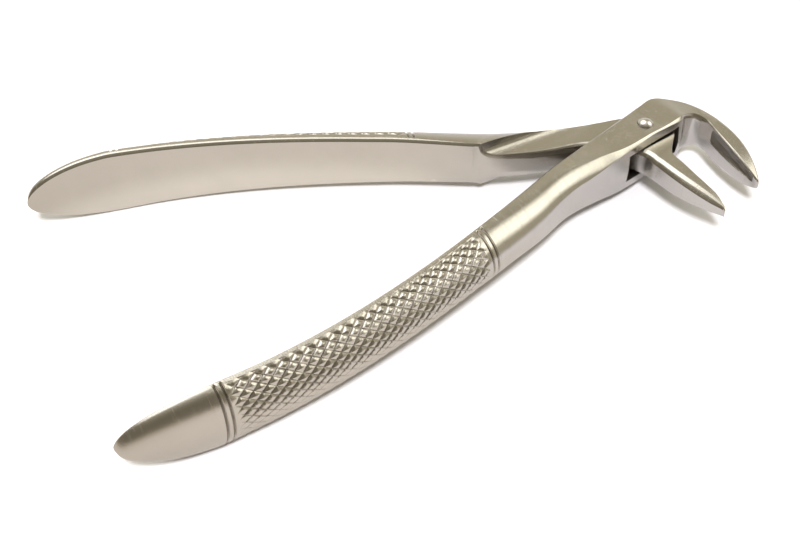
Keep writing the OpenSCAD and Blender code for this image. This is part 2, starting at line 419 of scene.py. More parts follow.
@dataclass
class Run:
    """A smooth curve of sections through the stations of one forging."""

    keys: list[Station]
    tracked: Flank
    fineness: int = 40

    def __post_init__(self) -> None:
        """Measures the length of the tracked side."""
        self.rows = np.array([k.row() for k in self.keys])
        self.t = np.linspace(0, len(self.keys) - 1, self.fineness * (len(self.keys) - 1) + 1)
        line = np.array([self.at(t)[self.tracked.value:self.tracked.value + 2] for t in self.t])
        self.length = np.concatenate([[0], np.cumsum(np.linalg.norm(np.diff(line, axis=0), axis=1))])

    def at(self, t: float) -> np.ndarray:
        """Finds the section at a place on the curve, which runs through every station.

        Args:
            t: The place, counted in stations.

        Returns:
            The section's row.
        """
        last = len(self.rows) - 1
        i = min(int(t), last - 1)
        u = t - i
        p0, p1, p2, p3 = (self.rows[min(max(i + k, 0), last)] for k in (-1, 0, 1, 2))
        return (p1 * 2 + (p2 - p0) * u + (p0 * 2 - p1 * 5 + p2 * 4 - p3) * u**2
                + (p1 * 3 - p0 - p2 * 3 + p3) * u**3) / 2

    def at_length(self, s: float) -> np.ndarray:
        """Returns the section at a length along the tracked side."""
        return self.at(float(np.interp(s, self.length, self.t)))

    def length_at(self, station: float) -> float:
        """Returns the length at which a station lies."""
        return float(np.interp(station, self.t, self.length))


@dataclass(frozen=True)
class Knurl:
    """Pyramids left on the outer side of a handle between two crossing sets of grooves."""

    start: float = 21.3
    end: float = 78.9
    along: float = 2.65
    across: float = 2.0
    cells: int = 8
    depth: float = 0.36
    margin: float = 0.7
    fade: float = 0.5
    worn: float = 0.12
    scored: float = 0.42
    score_from: float = 0.7
    score_span: float = 0.3
    uneven: float = 0.13

    def rings(self) -> int:
        """Returns the number of steps from the first ring of the knurl to the last."""
        return int((self.end - self.start) / self.along * self.cells)

    def column(self) -> float:
        """Returns the distance between two columns of points."""
        return self.across / self.cells

    def sink(self, ring: int, columns: np.ndarray, lengths: np.ndarray, edge: float) -> np.ndarray:
        """Works out how deep the grooves are along one ring.

        Args:
            ring: The ring's number, counted from the start of the knurl.
            columns: The points' numbers, counted from the middle of the side.
            lengths: The points' distances from the middle of the side.
            edge: Length of half the side.

        Returns:
            The depth at each point.
        """
        one, two = (ring + columns) / self.cells, (ring - columns) / self.cells
        near = np.minimum(np.abs(one - np.round(one)), np.abs(two - np.round(two)))
        share = np.maximum(1 - 2 * near, self.worn)
        share = mix(share, np.clip((share - self.score_from) / self.score_span, 0, 1), self.scored)
        u = ring * self.along / self.cells
        wave = 1 + self.uneven * np.sin(u * 1.7 + lengths * 1.1) * np.sin(u * 0.53 - lengths * 2.3 + 1.0)
        ends = min(ring, self.rings() - ring) / self.cells
        near_edge = np.clip((edge - self.margin - np.abs(lengths)) / self.fade, 0, 1)
        return self.depth * share * wave * (smooth(ends / 0.8 + 0.25) * near_edge)


@dataclass(frozen=True)
class RingGrooves:
    """Pairs of turned grooves at both ends of the knurl."""

    places: tuple[float, ...] = (19.35, 20.6, 79.5, 80.8)
    width: float = 0.6
    depth: float = 0.42
    margin: float = 0.15
    fade: float = 0.5
    steps: int = 4

    def sections(self) -> list[float]:
        """Returns the lengths at which the grooves need a section."""
        span = np.linspace(-1.15, 1.15, 2 * self.steps + 3) * self.width / 2
        return [p + d for p in self.places for d in span]

    def sink(self, u: float, lengths: np.ndarray, edge: float) -> np.ndarray:
        """Returns the depth along the section at a length u of the arm, for points at the lengths."""
        deep = sum(max(1 - (2 * (u - p) / self.width) ** 2, 0) for p in self.places)
        return self.depth * deep * np.clip((edge - self.margin - np.abs(lengths)) / self.fade, 0, 1)


@dataclass(frozen=True)
class GripGroove:
    """The ribbed hollow along the gripping face of a beak."""

    start: float
    end: float
    depth: float = 0.4
    middle: float = 0.42
    reach: float = 0.40
    rib_pitch: float = 0.62
    rib_depth: float = 0.13
    start_fade: float = 0.12
    end_fade: float = 0.14
    fullness: float = 0.6

    def sink(self, u: float, lengths: np.ndarray, half: float) -> np.ndarray:
        """Works out how deep the groove is in one ring.

        Args:
            u: Length along the arm.
            lengths: The points' distances from the middle of the side.
            half: Length of half the side.

        Returns:
            The depth at each point.
        """
        if not self.start < u < self.end:
            return np.zeros(len(lengths))
        share = (u - self.start) / (self.end - self.start)
        fade = smooth(share / self.start_fade) * smooth((1 - share) / self.end_fade)
        off = (lengths - half * self.middle) / (half * self.reach)
        bowl = np.clip(1 - off**2, 0, 1) ** self.fullness
        ribs = np.abs((lengths / self.rib_pitch + 0.25) % 1 - 0.5) * 2 * (bowl > 0.05)
        return fade * (self.depth * bowl + self.rib_depth * ribs * np.minimum(bowl * 2, 1))


@dataclass
class Skin:
    """Closed surface of one forging, made of rings of points, with its carving in the outer side."""

    outer: Flank
    knurl: Knurl
    grooves: RingGrooves
    grip: GripGroove
    wide: Columns = Columns(8, 22, 4, 4)
    narrow: Columns = Columns(10, 8, 4, 2)
    milled_from: float = -24.0
    polish_from: float = -2.5
    polish_run: float = 5.0
    tallest: float = 7.45
    knurl_blend: float = 2.5
    top_points: Triple = (-0.3, -0.12, 0.0)
    end_rings: Triple = (0.05, 0.12, 0.25)
    # Painted shade laid into the grip groove: how strongly it follows the groove's depth, and its greatest
    # amount.
    groove_shade: float = 4.0
    darkest_groove_shade: float = 0.4

    def __post_init__(self) -> None:
        """Starts with no rings."""
        self.points: list[np.ndarray] = []
        self.places: list[np.ndarray] = []
        self.carved: list[np.ndarray] = []
        self.numbers: list[int | None] = []

    def side(self, row: np.ndarray, which: Flank, mill: Mill, u: float, number: int | None,
             ) -> tuple[np.ndarray, np.ndarray, np.ndarray]:
        """Makes the points of one side of a ring.

        Args:
            row: The section's numbers.
            which: The side.
            mill: What faces the forging flat.
            u: Length along the arm.
            number: Number of the ring in the knurl, or None outside it.

        Returns:
            Distance in and height of each point from the lower to the upper edge, their places along
            the side and how deep they are carved, with painted shade added along the grip groove.
        """
        first, outer = which.value, which is self.outer
        form = Side(*row[5 + first:7 + first], row[9 + first // 2], row[11 + first // 2])
        curve = SideCurve(row[HALF], form, mill)
        columns = self.wide if outer else self.narrow
        lengths = curve.spread(columns)
        if outer:
            count = np.arange(columns.count() + 1)
            kept = np.minimum(count * self.knurl.column(),
                              curve.length - self.knurl.margin - (count[-1] - count) * 0.004)
            kept[-3:] = curve.length + np.array(self.top_points)
            away = abs(u - np.clip(u, self.knurl.start, self.knurl.end))
            lengths = mix(lengths, kept, smooth(1.2 - away / self.knurl_blend))
        both = np.concatenate([-lengths[::-1], lengths[1:]])
        sink, groove_shade = np.zeros(len(both)), 0.0
        if outer:
            grip = self.grip.sink(u, both, curve.length)
            sink = self.grooves.sink(u, both, curve.length) + grip
            # Painted shade: the grip groove gets a darker band, which rides on the carved depth.
            groove_shade = np.clip(grip * self.groove_shade, 0, self.darkest_groove_shade)
            if number is not None:
                middle = columns.count()
                sink = sink + self.knurl.sink(number, np.arange(-middle, middle + 1), both, curve.length)
        full = np.where(both < 0, 1 - row[KEEL], 1.0)
        placed = curve.place(np.abs(both), sink) * np.stack([full, np.sign(both)], 1)
        return placed, both, sink + groove_shade

    def add(self, row: np.ndarray, mill: Mill, u: float, number: int | None = None) -> None:
        """Adds one ring.

        Args:
            row: The section's numbers.
            mill: What faces the forging flat.
            u: Length along the arm.
            number: Number of the ring in the knurl, or None outside it.
        """
        left, right = row[0:2], row[2:4]
        across = (right - left) / np.linalg.norm(right - left)
        row[HALF] = min(row[HALF], self.tallest)
        if mill.soft:
            polished = smooth((left[0] - self.polish_from) / self.polish_run)
            flat = mix(min(row[HALF], mill.height), mill.run_out(row[HALF]), polished)
            row[HALF] = flat if left[0] > self.milled_from else row[HALF]
            mill = Mill()
        ls, lv, lc = self.side(row, Flank.LEFT, mill, u, number)
        rs, rv, rc = self.side(row, Flank.RIGHT, mill, u, number)
        flat = np.concatenate([left + across * ls[:, :1], (right - across * rs[:, :1])[::-1]])
        z = np.concatenate([ls[:, 1], rs[::-1, 1]])
        z = z * (1 + np.where(z > 0, row[LIFT], row[SAG]) / np.abs(z).max())
        self.points.append(np.column_stack([flat, z]))
        side = np.concatenate([np.full(len(v), float(self.outer is which))
                               for v, which in ((lv, Flank.LEFT), (rv, Flank.RIGHT))])
        self.places.append(np.column_stack([np.full(len(z), u), np.concatenate([lv, rv[::-1]]), side]))
        self.carved.append(np.concatenate([lc, rc[::-1]]))
        self.numbers.append(number)

    def sweep(self, run: Run, mill: Mill, spacing: float, start: float = 0.0) -> None:
        """Adds rings along a run.

        Args:
            run: The run of sections.
            mill: What faces the forging flat.
            spacing: Distance between plain rings.
            start: Length of the arm where the run starts.
        """
        end = run.length[-1]
        knurled = {self.knurl.start + i * self.knurl.along / self.knurl.cells: i
                   for i in range(self.knurl.rings() + 1)} if start == 0 else {}
        cut = self.grooves.sections() if start == 0 else []
        bare = [u for u in np.arange(0, end, spacing)
                if not (knurled and self.knurl.start - 0.2 < u < self.knurl.end + 0.2)
                and all(abs(u - c) > spacing * 0.4 for c in cut)]
        tips = self.end_rings if start == 0 else ()
        for u in sorted({*bare, *knurled, *cut, *tips, end}):
            if u <= end:
                self.add(run.at_length(u), mill.at(float(np.interp(u, run.length, run.t))), start + u,
                         knurled.get(u))

    def mesh(self, name: str, pivot: Pivot, turn: Turn) -> bpy.types.Mesh:
        """Joins the rings into a closed mesh.

        Args:
            name: Name of the mesh.
            pivot: Lays the arm open.
            turn: Which way the arm turns.

        Returns:
            The mesh, in metres, with the place of each point along and across the arm as an attribute,
            and its carved depth with the painted groove shade as another.
        """
        n, cells, on_left = len(self.points[0]), self.knurl.cells, self.outer is Flank.LEFT
        wide = 2 * self.wide.count() + 1
        first = 0 if on_left else n - wide
        faces = []
        for i in range(len(self.points) - 1):
            number = self.numbers[i] if self.numbers[i + 1] is not None else None
            for k in range(n):
                a, b = i * n + k, i * n + (k + 1) % n
                quad = (a, b, b + n, a + n)
                column = k - first - wide // 2 if on_left else wide // 2 - 1 - (k - first)
                if number is None or not first <= k < first + wide - 1:
                    faces.append(quad)
                    continue
                one, two = (number + column + 1) % cells == 0, (number - column) % cells == 0
                if not on_left:
                    one, two = two, one
                if one:
                    faces += [(a, b, a + n), (b, b + n, a + n)]
                elif two:
                    faces += [(a, b, b + n), (a, b + n, a + n)]
                else:
                    faces.append(quad)
        faces += [tuple(range(n))[::-1], tuple(range((len(self.points) - 1) * n, len(self.points) * n))]
        mesh = bpy.data.meshes.new(name)
        mesh.from_pydata(pivot.lay(np.concatenate(self.points), turn).tolist(), [], faces)
        # carved is the depth of the carving plus the painted shade of the grip groove.
        for label, kind, key, values in (("place", "FLOAT_VECTOR", "vector", self.places),
                                         ("carved", "FLOAT", "value", self.carved)):
            data = mesh.attributes.new(label, kind, "POINT").data
            data.foreach_set(key, np.concatenate(values).astype(np.float32).ravel())
        return mesh


def prism(name: str, outline: list[Flat], low: float, high: float, pivot: Pivot, turn: Turn,
          ) -> bpy.types.Object:
    """Makes a cutter with straight walls.

    Args:
        name: Name of the cutter.
        outline: Its outline from above.
        low: Height of its floor over the middle plane.
        high: Height of its top.
        pivot: Lays it open.
        turn: Which way it turns.

    Returns:
        The cutter.
    """
    n = len(outline)
    points = np.array([(x, y, z) for z in (low, high) for x, y in outline])
    area = sum(a[0] * b[1] - b[0] * a[1] for a, b in zip(outline, outline[1:] + outline[:1]))
    walls = [(k, (k + 1) % n, (k + 1) % n + n, k + n) for k in range(n)]
    faces = [tuple(range(n))[::-1], tuple(range(n, 2 * n)), *walls]
    mesh = bpy.data.meshes.new(name)
    mesh.from_pydata(pivot.lay(points, turn).tolist(), [], faces if area > 0 else [f[::-1] for f in faces])
    return bpy.data.objects.new(name, mesh)


def lift_roof(mesh: bpy.types.Mesh, pivot: Pivot, lift: float, slope: float, floor_share: float = 0.75,
              ) -> None:
    """Raises the roof over the joint's middle plane and tilts the floor under it.

    Args:
        mesh: The mesh, which is changed.
        pivot: Says where the middle plane is, and how far the slot reaches.
        lift: How far the roof goes up at the pivot.
        slope: How much further it goes up for each millimetre towards the beak.
        floor_share: Share of that slope which the floor gets, from the handle's end of the slot.
    """
    middle = pivot.box_h / 2 * MM
    for point in mesh.vertices:
        if point.co.z > middle:
            along = min(max(point.co.x, -pivot.slot_reach * MM), pivot.slot_reach * MM)
            point.co.z += lift * MM + slope * along
        else:
            point.co.z += slope * floor_share * (point.co.x + pivot.slot_reach * MM)


def turned_mesh(name: str, outline: list[Flat], pivot: Pivot, steps: int = 72) -> bpy.types.Mesh:
    """Turns an outline round the pivot.

    Args:
        name: Name of the mesh.
        outline: Radius and height of each point, from one end of the axis to the other.
        pivot: Lifts it to the joint's middle plane.
        steps: Number of sides.

    Returns:
        The closed mesh.
    """
    points, rows = [], []
    for r, z in outline:
        rows.append([len(points)] * steps if r == 0 else list(range(len(points), len(points) + steps)))
        ring = [math.tau * k / steps for k in range(1 if r == 0 else steps)]
        points += [(r * math.cos(a), r * math.sin(a), z) for a in ring]
    faces = []
    for low, high in zip(rows, rows[1:]):
        for k in range(steps):
            corners = [low[k], low[(k + 1) % steps], high[(k + 1) % steps], high[k]]
            faces.append(tuple(dict.fromkeys(corners)))
    mesh = bpy.data.meshes.new(name)
    corners = pivot.lay(np.array(points), Turn.NEITHER).tolist()
    mesh.from_pydata(corners, [], [f for f in faces if len(f) > 2])
    return mesh


def turned(name: str, outline: list[Flat], pivot: Pivot) -> bpy.types.Object:
    """Returns a cutter turned round the pivot."""
    return bpy.data.objects.new(name, turned_mesh(name, outline, pivot))


class Blank:
    """A piece on the bench: it is cut, its new edges are broken, and it is smoothed."""

    kept_share: ClassVar[float] = 0.6

    def __init__(self, name: str, mesh: bpy.types.Mesh) -> None:
        """Puts a mesh on the bench.

        Args:
            name: Name of the blank.
            mesh: The mesh, in metres.
        """
        self.item = bpy.data.objects.new(name, mesh)
        bpy.context.scene.collection.objects.link(self.item)
        self.weld()

    def weld(self, reach: float = 0.004) -> None:
        """Joins points that lie on each other, and turns the faces outwards.

        Args:
            reach: Distance within which points are one, in millimetres.
        """
        work = bmesh.new()
        work.from_mesh(self.item.data)
        bmesh.ops.remove_doubles(work, verts=work.verts, dist=reach * MM)
        bmesh.ops.dissolve_degenerate(work, edges=work.edges, dist=reach * MM / 4)
        bmesh.ops.recalc_face_normals(work, faces=work.faces)
        if work.calc_volume(signed=True) < 0:
            bmesh.ops.reverse_faces(work, faces=work.faces)
        work.to_mesh(self.item.data)
        work.free()

    def cut(self, cutter: bpy.types.Object, edge_break: float = 0.0) -> None:
        """Takes a cutter's shape away.

        A solver can lose a forging whose folds touch, so a result counts only while it keeps most of the
        faces, and otherwise the next way to cut is tried.

        Args:
            cutter: What is taken away. It is used up.
            edge_break: Width of the bevel along the new edges.
        """
        bpy.context.scene.collection.objects.link(cutter)
        mark = cutter.data.attributes.new("fresh", "FLOAT", "FACE")
        mark.data.foreach_set("value", np.ones(len(cutter.data.polygons), np.float32))
        enough = len(self.item.data.polygons) * self.kept_share
        for saw in Saw:
            tool = self.item.modifiers.new("cut", "BOOLEAN")
            tool.operation, tool.solver, tool.object = "DIFFERENCE", saw.value, cutter
            shape = bpy.context.evaluated_depsgraph_get()
            mesh = bpy.data.meshes.new_from_object(self.item.evaluated_get(shape))
            self.item.modifiers.clear()
            if len(mesh.polygons) > enough:
                break
            LOG.info("%s: the %s cut lost its faces", self.item.name, saw.value)
        self.item.data = mesh
        bpy.data.objects.remove(cutter)
        if edge_break:
            self.break_edges(edge_break)

    def break_edges(self, width: float) -> None:
        """Bevels the edges between old and new faces.

        Args:
            width: Width of the bevel, in millimetres.
        """
        work = bmesh.new()
        work.from_mesh(self.item.data)
        fresh = work.faces.layers.float["fresh"]
        rims = [e for e in work.edges
                if len(e.link_faces) == 2 and e.link_faces[0][fresh] != e.link_faces[1][fresh]]
        bmesh.ops.bevel(work, geom=rims, offset=width * MM, segments=2, profile=0.5, affect="EDGES",
                        clamp_overlap=True)
        work.to_mesh(self.item.data)
        work.free()

    def finish(self, name: str, sharp: float = 18.0) -> bpy.types.Object:
        """Smooths the piece and names it.

        Args:
            name: The piece's name.
            sharp: Angle in degrees above which an edge stays sharp.

        Returns:
            The piece.
        """
        self.weld()
        mesh = self.item.data
        mesh.shade_smooth()
        mesh.set_sharp_from_angle(angle=math.radians(sharp))
        self.item.name = mesh.name = name
        return self.item


@dataclass
class Piece:
    """What all pieces share: the sizes of the joint, and how a finish is put on."""

    pivot: Pivot = field(default_factory=Pivot)

    def dress(self, piece: bpy.types.Object, finish: bpy.types.Material) -> None:
        """Gives the whole piece one finish."""
        piece.data.materials.clear()
        piece.data.materials.append(finish)


@dataclass
class Arm(Piece):
    """What both arms share: a handle, a beak, their carving, and the drill for the rivet."""

    handle: Handle = field(default_factory=Handle)
    beak: Beak = field(default_factory=Beak)
    knurl: Knurl = field(default_factory=Knurl)
    rings: RingGrooves = field(default_factory=RingGrooves)
    skim: float = 0.1
    spacing: float = 0.5
    grip_end: float = 0.8
    drill_reach: float = 9.0

    def beak_end(self, left: Flat, right: Flat) -> Station:
        """Returns the small last section, which rounds off the tip of the beak."""
        b = self.beak
        return Station(left, right, b.tip_h / 3, Side(b.tip_t / 8, 1), Side(b.tip_t / 8, 1))

    def drill(self, radius: float) -> bpy.types.Object:
        """Returns the cutter for a hole on the joint's axis."""
        low, high = -self.drill_reach, self.drill_reach
        return turned("bore_cutter", [(0.0, low), (radius, low), (radius, high), (0.0, high)], self.pivot)


@dataclass
class BoxArm(Arm):
    """The arm that carries the slotted joint box and the long outer beak."""

    neck_x: float = 24.5
    neck_in: float = -1.0
    deep_from: float = 7.0
    deep_to: float = 38.0
    round_from: float = 20.0
    round_to: float = 46.0
    keel: float = 0.3
    keel_end: float = 48.0
    keel_run: float = 20.0
    bend: Flat = (16.5, -4.5)
    grip: Flat = (12.8, -5.9)
    joint_stations: int = 8
    grip_start: float = 3.5
    polish: float = 0.9
    plate_break: float = 0.12
    roof_lift: float = 0.5
    roof_slope: float = 0.03
    seat_play: float = 0.02
    seat_lip: float = 0.12

    def outer_side(self, x: float, thick: float) -> Side:
        """Shapes the outer side, which is round along the grip and plain along the box.

        Args:
            x: Distance from the pivot.
            thick: Thickness of the arm there.

        Returns:
            The side.
        """
        deep = min(max((x - self.deep_from) / (self.deep_to - self.deep_from), 0), 1)
        return Side(mix(0.5, thick - self.handle.edge_cut, deep),
                    smooth((x - self.round_from) / (self.round_to - self.round_from)))

    def stations(self) -> list[Station]:
        """Lists the arm's sections.

        Returns:
            The stations from the handle's end to the tip of the beak.
        """
        h, p, b = self.handle, self.pivot, self.beak
        top, cut, draft = p.box_h / 2 + self.skim, Side(h.edge_cut), Side(0.28, 0, -1.3)
        keys = []
        for x in h.stops(self.neck_x):
            y, t = -h.flat_face(x, self.neck_x, self.neck_in), h.thick(x)
            keys.append(Station((-x, y), (-x, y - t), h.half(x), Side(min(h.edge_cut, t / 4)),
                                self.outer_side(x, t),
                                keel=self.keel * smooth((self.keel_end - x) / self.keel_run)))
        n = self.neck_x
        keys += [
            Station((-n, 1.0), (-n, 1.6 - h.neck_t), h.neck_h / 2 + 0.13, cut,
                    self.outer_side(n, h.neck_t), keel=self.keel),
            Station((-16, p.box_back - 2.55), (-15.6, -p.box_front - 1.35),
                    h.neck_h / 2 + 0.28, cut, self.outer_side(16, h.neck_t), keel=self.keel * 0.8),
            Station((-9, p.box_back - 1.5), (-8.6, -p.box_front - 0.85), top, cut, Side(0.8, 0, -0.3)),
            Station((-2.5, p.box_back - 0.45), (-1.5, -p.box_front + 0.05), top, cut, draft),
            Station((2.5, p.box_back + 0.45), (3.5, -p.box_front + 0.2), top + 0.35, cut, draft),
            Station((6.8, p.box_back + 1.4), (7.3, -p.box_front + 0.4), top + 0.15, Side(0.8, 0.3),
                    Side(0.5, 0, -0.7)),
            Station((10.4, p.box_back + 0.1), (9.4, -2.5), top - 0.7, Side(1.3, 0.7), Side(0.5, 0.1)),
            Station((13.6, p.box_back - 2.4), (11.4, -2.6), top - 1.3, Side(1.7, 1), Side(0.5, 0.15)),
            Station((15.7, -0.8), (12.6, -3.8), mix(top, b.outer_h / 2, 0.92), Side(b.back, 1),
                    Side(0.5, 0.15, -0.15)),
        ]
        tip = (b.tip_x + b.tip_gap / 2, 0.75 - b.drop)
        tip_back = moved(tip, (b.tip_t, -0.1))
        for i in range(b.steps + 1):
            u = i / b.steps
            keys.append(Station(bowed(self.bend, tip_back, -1.45, u), bowed(self.grip, tip, 0.45, u),
                                b.half(b.outer_h, u), Side(mix(b.back, b.tip_t / 2, u), 1),
                                Side(0.3, 0, -0.3 * (1 - u**4))))
        keys.append(self.beak_end(moved(tip_back, (-0.55, -0.5), b.tip_t),
                                  moved(tip, (0.25, -0.55), b.tip_t)))
        return keys

    def slot_outline(self, past: float = 30.0) -> list[Flat]:
        """Draws the space that the tongue sweeps between the plates.

        Args:
            past: How far the outline goes on past the box on both sides.

        Returns:
            The outline from above.
        """
        p, inner = self.pivot, TongueArm.shoulder_in[0]
        end_r, floor = p.eye_r + p.slot_play + 0.5, -p.tongue_low - p.slot_play
        low = polar(end_r, -26)
        return [(-p.slot_reach, -past), (-p.slot_reach, 0.2 - p.box_front),
                (-p.slot_reach - 1.3, floor - 0.8), (-p.slot_reach - 3.8, floor - 0.2),
                (-self.neck_x, floor), (inner - 0.6, floor + 0.3), (inner - 4, past), (0, past),
                *[polar(end_r, 90 - 4 * k) for k in range(28)], low, (low[0], -past)]

    def build(self) -> bpy.types.Object:
        """Forges the arm, cuts the slot and sinks the rivet's seats.

        Returns:
            The arm.
        """
        p = self.pivot
        run = Run(self.stations(), Flank.RIGHT)
        beak = run.length_at(len(self.handle.stops(self.neck_x)) + self.joint_stations)
        skin = Skin(Flank.RIGHT, self.knurl, self.rings,
                    GripGroove(beak + self.grip_start, run.length[-1] - self.grip_end))
        skin.sweep(run, Mill(p.box_h / 2, soft=self.polish), self.spacing)
        blank = Blank("box_forging", skin.mesh("box_forging", p, Turn.BOX_SIDE))
        slot = prism("slot_cutter", self.slot_outline(), -p.slot_h / 2, p.slot_h / 2, p, Turn.BOX_SIDE)
        lift_roof(slot.data, p, self.roof_lift, self.roof_slope)
        blank.cut(slot, self.plate_break)
        blank.cut(self.drill(p.rivet_d / 2))
        seat, rim = p.head_d / 2 + self.seat_play, p.box_h / 2
        lip = seat + self.seat_lip
        for side in (-1, 1):
            shape = [(0.0, rim - p.seat_depth), (seat, rim - p.seat_depth), (seat, rim - 0.1),
                     (lip, rim), (lip, rim + 1), (0.0, rim + 1)]
            blank.cut(turned("seat_cutter", [(r, side * z) for r, z in shape][::side], p))
        return blank.finish("BoxArm")


@dataclass
class TongueArm(Arm):
    """The arm that carries the flat tongue and the short inner beak."""

    neck_x: float = 33.0
    neck_in: float = 0.7
    shoulder_in: Flat = (-35.4, 0.7)
    shoulder_out: Flat = (-17.6, 5.7)
    shoulder_slope: Flat = (0.4, -0.1)
    shoulder_turn: float = 6.0
    grip: Flat = (3.7, -7.7)
    back: Flat = (-0.4, -10.2)
    joint_stations: int = 13
    play: float = 0.05
    rim: float = 0.4
    corner: float = 1.8
    mill_cut: float = 0.2
    lift: float = 0.55

    def grip_stations(self) -> list[Station]:
        """Lists the sections of the handle.

        Returns:
            The stations from the handle's end to the shoulders.
        """
        h = self.handle
        flat, keys = Side(h.edge_cut), []
        for x in h.stops(self.neck_x):
            if x > self.shoulder_turn - self.shoulder_in[0]:
                y, t = h.flat_face(x, self.neck_x, self.neck_in), h.thick(x)
                keys.append(Station((-x, y + t), (-x, y), h.half(x), Side(max(t - 1.1, t / 2), 1),
                                    Side(min(0.5, t / 6), facet=min(0.3, t / 8))))
        half = h.neck_h / 2
        keys += [
            Station((-33.5, h.neck_t + 1), moved(self.shoulder_in, (-2.2, 0.55)), half,
                    Side(h.neck_t + 0.3, 1), flat),
            Station((-26, h.neck_t - 0.4), moved(self.shoulder_in, (-0.8, 0.25)), half, Side(11, 1), flat),
            Station(self.shoulder_out, self.shoulder_in, half, Side(17, 1), flat),
        ]
        return keys

    def tongue_stations(self) -> list[Station]:
        """Lists the sections of the neck, the tongue and the beak.

        Returns:
            The stations from the shoulders to the tip of the beak.
        """
        h, p, b = self.handle, self.pivot, self.beak
        half, thin, low = h.neck_h / 2, p.tongue_h / 2 + self.skim, p.tongue_low
        edge, r, rim, up = Side(0.3), p.eye_r, Side(0.15, facet=self.rim), self.lift
        soft_rim, round_rim = Side(0.5, 0.1, 0, self.rim), Side(0.95, 0.25, 0, self.rim)
        keys = [
            Station(moved(self.shoulder_out, self.shoulder_slope),
                    moved(self.shoulder_in, self.shoulder_slope), half, Side(17, 1), rim, 0, 1.7),
            Station((-11.5, 5.5), (-32.3, -0.2), half - 0.5, Side(4, 0.7), soft_rim, 0, 0.7),
            Station((-10.5, 5.5), (-26.5, -1.1), half - 0.9, Side(3, 0.6), round_rim, 0.05, 0.6),
            Station((-9.7, 5.5), (-21, -low - 0.2), half - 1.3, Side(2, 0.5), round_rim, 0.16, 0.3),
            Station((-8.6, 5.5), (-15.5, -low), 3.7, Side(1.3, 0.4), round_rim, 0.28),
            Station((-5.5, 5.5), (-10.3, -low - 0.5), thin, edge, Side(0.6, 0.1, 0, self.rim), 0.38),
            Station((0, 5.5), (-7.2, -2.2), thin, edge, Side(0.6, 0, 0, 0.5), 0.48),
            Station(polar(r - 0.5, 44), (-5.3, -3.7), thin, edge, Side(0.8, 0, 0, 0.8), up),
            Station(polar(r - 0.1, 14), (-3.6, -5.2), thin, edge, Side(0.6, 0, 0, 1.0), up),
            Station(polar(r, -14), (-2.2, -6.6), thin, edge, Side(0.55, 0, 0, 1.0), up),
            Station(polar(r, -38), (-1.5, -7.8), thin, edge, Side(0.6, 0, 0, 0.95), up),
            Station((4.1, -5.8), (-1, -9), b.inner_h / 2, Side(0.3, 0, b.hollow / 3),
                    Side(0.65, 0, 0, 0.9), up),
        ]
        tip = (b.tip_x - b.tip_gap / 2, 0.6 - b.drop)
        tip_back = moved(tip, (-0.8, -0.6), b.tip_t)
        for i in range(b.steps + 1):
            u = i / b.steps
            back = Side(mix(0.7, 1.0, u) * (1 - 0.6 * u**6), 0, 0, mix(0.9, b.tip_t / 3, u**5))
            keys.append(Station(bowed(self.grip, tip, -0.55, u, 5), bowed(self.back, tip_back, 0.75, u),
                                b.half(b.inner_h, u), Side(0.3, 0, b.hollow * (1 - u**4)), back,
                                up * (1 - smooth(u))))
        keys.append(self.beak_end(moved(tip, (-0.1, -1), b.tip_t), moved(tip_back, (0.5, -0.7), b.tip_t)))
        return keys

    def build(self) -> bpy.types.Object:
        """Forges the arm and bores its tongue.

        Returns:
            The arm.
        """
        p = self.pivot
        handle, tongue = Run(self.grip_stations(), Flank.LEFT), Run(self.tongue_stations(), Flank.LEFT)
        length = float(handle.length[-1])
        skin = Skin(Flank.LEFT, self.knurl, self.rings,
                    GripGroove(length + tongue.length_at(self.joint_stations),
                               length + tongue.length[-1] - self.grip_end,
                               depth=0.25, middle=0.0, reach=0.6))
        skin.sweep(handle, Mill(), self.spacing)
        skin.sweep(tongue, Mill(p.tongue_h / 2, self.mill_cut, corner=self.corner), self.spacing, length)
        blank = Blank("tongue_forging", skin.mesh("tongue_forging", p, Turn.TONGUE_SIDE))
        blank.cut(self.drill(p.rivet_d / 2 + self.play))
        return blank.finish("TongueArm")


@dataclass
class PivotRivet(Piece):
    """The pin through both plates and the tongue, with a domed head and a peened end."""

    cap_angle: float = 47.0
    cap_share: float = 0.75

    def head(self, rise: float) -> list[Flat]:
        """Draws one of the rivet's ends.

        Args:
            rise: Height of its top over the plate.

        Returns:
            Radius and height of each point, from the shank to the middle of the dome.
        """
        p = self.pivot
        r, base = p.head_d / 2, p.box_h / 2 - p.seat_depth
        ball = r / math.sin(math.radians(self.cap_angle))
        cap = min(ball * (1 - math.cos(math.radians(self.cap_angle))), rise * self.cap_share)
        rim = p.box_h / 2 + rise - cap
        dome = [(x := r * math.cos(math.radians(a)),
                 rim + cap * (math.sqrt(ball**2 - x**2) - ball) / (ball - math.sqrt(ball**2 - r**2)) + cap)
                for a in range(6, 91, 6)]
        return [(p.rivet_d / 2, base), (r, base), (r, rim), *[(max(x, 0.0), z) for x, z in dome[:-1]],
                (0.0, dome[-1][1])]

    def build(self) -> bpy.types.Object:
        """Turns the rivet.

        Returns:
            The rivet.
        """
        p = self.pivot
        outline = [(x, -z) for x, z in self.head(p.peen_h)[::-1]] + self.head(p.dome_h)
        return Blank("rivet_turning", turned_mesh("rivet_turning", outline, p)).finish("PivotRivet")


